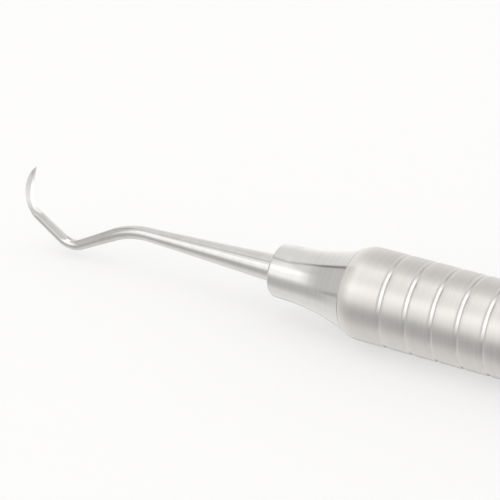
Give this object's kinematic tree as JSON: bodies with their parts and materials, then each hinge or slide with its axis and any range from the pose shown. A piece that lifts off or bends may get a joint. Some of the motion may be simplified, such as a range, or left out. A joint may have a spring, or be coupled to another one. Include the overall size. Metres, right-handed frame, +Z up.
{
  "type": "sickle scaler",
  "caption": "Hand instrument for scraping teeth: a curled, pointed three-sided blade on a bent tapered shank, set in a ring-grooved round hollow handle.",
  "frame": {"origin": "on the surface that the handle lies on, under the middle of the overall length", "axes": "X along the handle, with the blade towards -X; Z up, with the blade's point upwards; the shank's bends lie in the XZ plane"},
  "size_m": [0.1588, 0.01, 0.01],
  "materials": {
    "polished_steel": "polished stainless steel, mirror-like with faint turning lines",
    "satin_steel": "satin stainless steel, finely brushed round the handle, with brighter ring grooves"
  },
  "bodies": {
    "root": {"working_end": "polished_steel", "nose_cone": "polished_steel", "handle_tube": "satin_steel", "end_cap": "polished_steel"}
  },
  "joints": []
}
